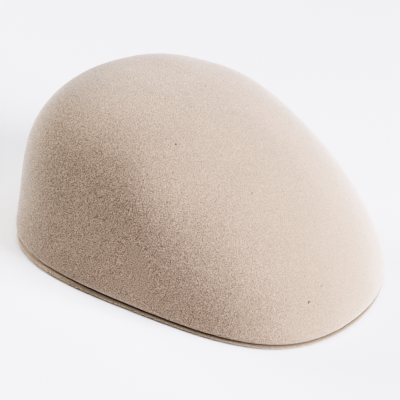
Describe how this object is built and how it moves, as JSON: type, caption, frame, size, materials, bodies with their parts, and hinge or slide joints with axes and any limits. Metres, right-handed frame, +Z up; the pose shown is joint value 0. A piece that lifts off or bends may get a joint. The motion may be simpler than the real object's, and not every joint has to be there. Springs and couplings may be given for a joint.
{
  "type": "wool felt cap",
  "caption": "Smooth blocked wool felt cap: a rounded crown that slopes down into a short front peak, on a flat felt brim around an oval head opening.",
  "frame": {"origin": "middle of the cap's footprint, on the surface that the flat underside of the brim rests on", "axes": "+Z up, the peak towards -Y and the back towards +Y, the wearer's right side towards -X; the cap is the same on both sides of X = 0"},
  "size_m": [0.2092, 0.277, 0.126],
  "materials": {
    "crown_felt": "oatmeal wool felt, dense and matt with a short fuzz",
    "brim_felt": "oatmeal wool felt, dense and matt with a short fuzz"
  },
  "bodies": {
    "root": {"crown": "crown_felt", "brim": "brim_felt"}
  },
  "joints": []
}
